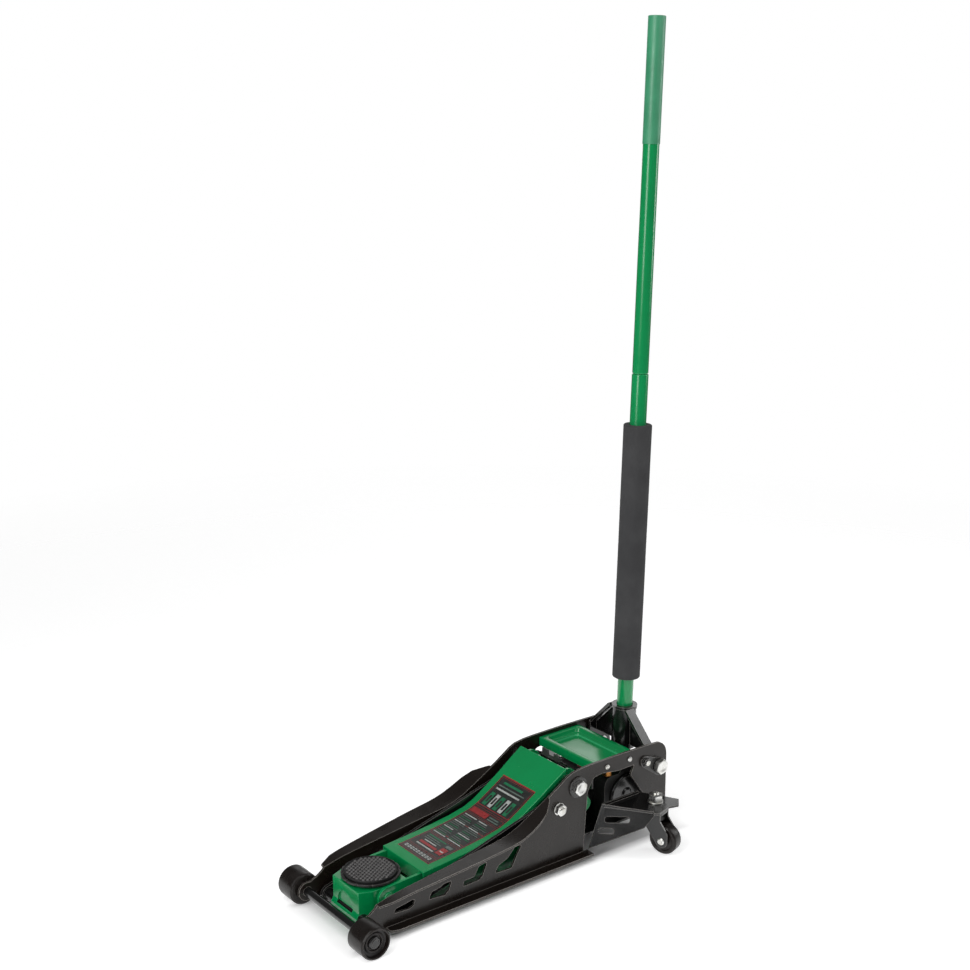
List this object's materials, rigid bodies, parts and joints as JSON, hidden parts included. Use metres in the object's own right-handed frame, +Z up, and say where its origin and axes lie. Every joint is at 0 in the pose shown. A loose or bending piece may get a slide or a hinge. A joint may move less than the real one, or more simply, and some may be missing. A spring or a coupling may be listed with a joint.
{
  "type": "hydraulic floor jack",
  "caption": "Low-profile wheeled hydraulic floor jack with a pivoting lift arm, swivelling saddle, tilting yoke and two-piece pump handle.",
  "frame": {"origin": "on the floor, below the centre of the bounding box", "axes": "+Z up, the handle's direction; -Y towards the saddle and front wheels; X across the jack, +X the operator's left"},
  "size_m": [0.367, 0.7477, 1.4947],
  "materials": {
    "green_enamel": "gloss green enamel",
    "black_enamel": "satin black enamel with a brownish tone",
    "black_castings": "black painted castings",
    "wheel_black": "black wheel, semi-gloss",
    "zinc_bolts": "bright zinc plating",
    "bright_steel": "ground steel",
    "rubber_pad": "dimpled black rubber",
    "foam_grip": "closed-cell foam, matt",
    "brass": "plain brass",
    "red_plastic": "red cap"
  },
  "bodies": {
    "chassis": {"side_plate_left": "black_enamel", "side_plate_right": "black_enamel", "rear_wing_left": "black_enamel", "rear_wing_right": "black_enamel", "front_axle": "black_castings", "cross_tie": "black_enamel", "unit_cradle": "black_enamel", "spring_anchor": "zinc_bolts", "brass_plug": "brass", "relief_cap": "red_plastic", "caster_bolt_left": "zinc_bolts", "caster_bolt_right": "zinc_bolts", "caster_race_left": "bright_steel", "caster_race_right": "bright_steel", "arm_shaft": "bright_steel", "arm_bolt_left": "zinc_bolts", "arm_bolt_right": "zinc_bolts", "link_bolt_left": "zinc_bolts", "link_bolt_right": "zinc_bolts", "reservoir_tank": "black_enamel", "ram_cylinder": "black_castings", "pump_block": "black_castings", "yoke_bolt_left": "zinc_bolts", "yoke_bolt_right": "zinc_bolts", "pivot_keeper_left": "black_enamel", "pivot_keeper_right": "black_enamel", "tool_tray": "green_enamel", "tray_screw_front_left": "zinc_bolts", "tray_screw_front_right": "zinc_bolts", "tray_screw_rear_left": "zinc_bolts", "tray_screw_rear_right": "zinc_bolts"},
    "lift_arm": {"lift_arm": "green_enamel", "arm_top_panel": "green_enamel", "crosshead_pin": "bright_steel", "saddle_pin_left": "zinc_bolts", "saddle_pin_right": "zinc_bolts"},
    "level_links": {"level_link_left": "black_enamel", "level_link_right": "black_enamel", "link_pin": "black_castings"},
    "saddle_bracket": {"saddle_bracket": "green_enamel"},
    "saddle": {"saddle": "black_castings", "saddle_pad": "rubber_pad"},
    "ram_piston": {"ram_piston": "bright_steel"},
    "handle_yoke": {"handle_yoke": "black_enamel"},
    "handle": {"handle_lower": "green_enamel", "foam_grip": "foam_grip"},
    "handle_top": {"handle_upper": "green_enamel", "top_grip": "green_enamel"},
    "release_valve": {"release_valve": "bright_steel"},
    "pump_plunger_left": {"pump_plunger_left": "bright_steel"},
    "pump_plunger_right": {"pump_plunger_right": "bright_steel"},
    "front_wheel_left": {"front_wheel_left": "wheel_black"},
    "front_wheel_right": {"front_wheel_right": "wheel_black"},
    "caster_fork_left": {"caster_fork_left": "black_enamel", "caster_axle_left": "zinc_bolts"},
    "caster_fork_right": {"caster_fork_right": "black_enamel", "caster_axle_right": "zinc_bolts"},
    "caster_wheel_left": {"caster_wheel_left": "wheel_black"},
    "caster_wheel_right": {"caster_wheel_right": "wheel_black"}
  },
  "joints": [
    {"name": "arm_lift", "type": "hinge", "parent": "chassis", "child": "lift_arm", "pos_m": [0, 0.1245, 0.15], "axis": [-1, 0, 0], "range_deg": [0, 77]},
    {"name": "link_swing", "type": "hinge", "parent": "chassis", "child": "level_links", "pos_m": [0, 0.0805, 0.12], "axis": [-1, 0, 0], "range_deg": [0, 77]},
    {"name": "saddle_level", "type": "hinge", "parent": "lift_arm", "child": "saddle_bracket", "pos_m": [0, -0.2675, 0.05], "axis": [-1, 0, 0], "range_deg": [-77, 0]},
    {"name": "saddle_turn", "type": "hinge", "parent": "saddle_bracket", "child": "saddle", "pos_m": [0, -0.2675, 0.06], "axis": [0, 0, 1], "continuous": true},
    {"name": "ram_push", "type": "slide", "parent": "chassis", "child": "ram_piston", "axis": [0, -1, 0], "range_m": [0, 0.0896]},
    {"name": "handle_pump", "type": "hinge", "parent": "chassis", "child": "handle_yoke", "pos_m": [0, 0.3265, 0.134], "axis": [-1, 0, 0], "range_deg": [0, 50], "stiffness_Nm_per_rad": 25, "springref_deg": -11.46},
    {"name": "plunger_left", "type": "slide", "parent": "chassis", "child": "pump_plunger_left", "axis": [0, -1, 0], "range_m": [0, 0.0204]},
    {"name": "plunger_right", "type": "slide", "parent": "chassis", "child": "pump_plunger_right", "axis": [0, -1, 0], "range_m": [0, 0.0204]},
    {"name": "handle_twist", "type": "hinge", "parent": "handle_yoke", "child": "handle", "pos_m": [0, 0.3155, 0.263], "axis": [0, 0.0347, 0.9994], "range_deg": [0, 90]},
    {"name": "valve_turn", "type": "hinge", "parent": "chassis", "child": "release_valve", "pos_m": [0, 0.3025, 0.134], "axis": [0, 1, 0], "range_deg": [0, 90]},
    {"name": "handle_parting", "type": "slide", "parent": "handle", "child": "handle_top", "axis": [0, 0.0347, 0.9994], "range_m": [0, 0.07]},
    {"name": "front_roll_left", "type": "hinge", "parent": "chassis", "child": "front_wheel_left", "pos_m": [0.111, -0.3455, 0.0284], "axis": [1, 0, 0], "continuous": true},
    {"name": "front_roll_right", "type": "hinge", "parent": "chassis", "child": "front_wheel_right", "pos_m": [-0.111, -0.3455, 0.0284], "axis": [1, 0, 0], "continuous": true},
    {"name": "caster_swivel_left", "type": "hinge", "parent": "chassis", "child": "caster_fork_left", "pos_m": [0.133, 0.2735, 0.085], "axis": [0, 0, 1], "continuous": true},
    {"name": "caster_roll_left", "type": "hinge", "parent": "caster_fork_left", "child": "caster_wheel_left", "pos_m": [0.15392, 0.2803, 0.028], "axis": [0.309, -0.9511, 0], "continuous": true},
    {"name": "caster_swivel_right", "type": "hinge", "parent": "chassis", "child": "caster_fork_right", "pos_m": [-0.133, 0.2735, 0.085], "axis": [0, 0, 1], "continuous": true},
    {"name": "caster_roll_right", "type": "hinge", "parent": "caster_fork_right", "child": "caster_wheel_right", "pos_m": [-0.15392, 0.2803, 0.028], "axis": [-0.309, -0.9511, 0], "continuous": true}
  ],
  "couplings": [
    {"joint": "link_swing", "follows": "arm_lift", "ratio": 1},
    {"joint": "saddle_level", "follows": "arm_lift", "ratio": -1},
    {"joint": "ram_push", "follows": "arm_lift", "m_per_rad": 0.06627},
    {"joint": "plunger_left", "follows": "handle_pump", "m_per_rad": 0.02282},
    {"joint": "plunger_right", "follows": "handle_pump", "m_per_rad": 0.02282},
    {"joint": "valve_turn", "follows": "handle_twist", "ratio": 1}
  ]
}
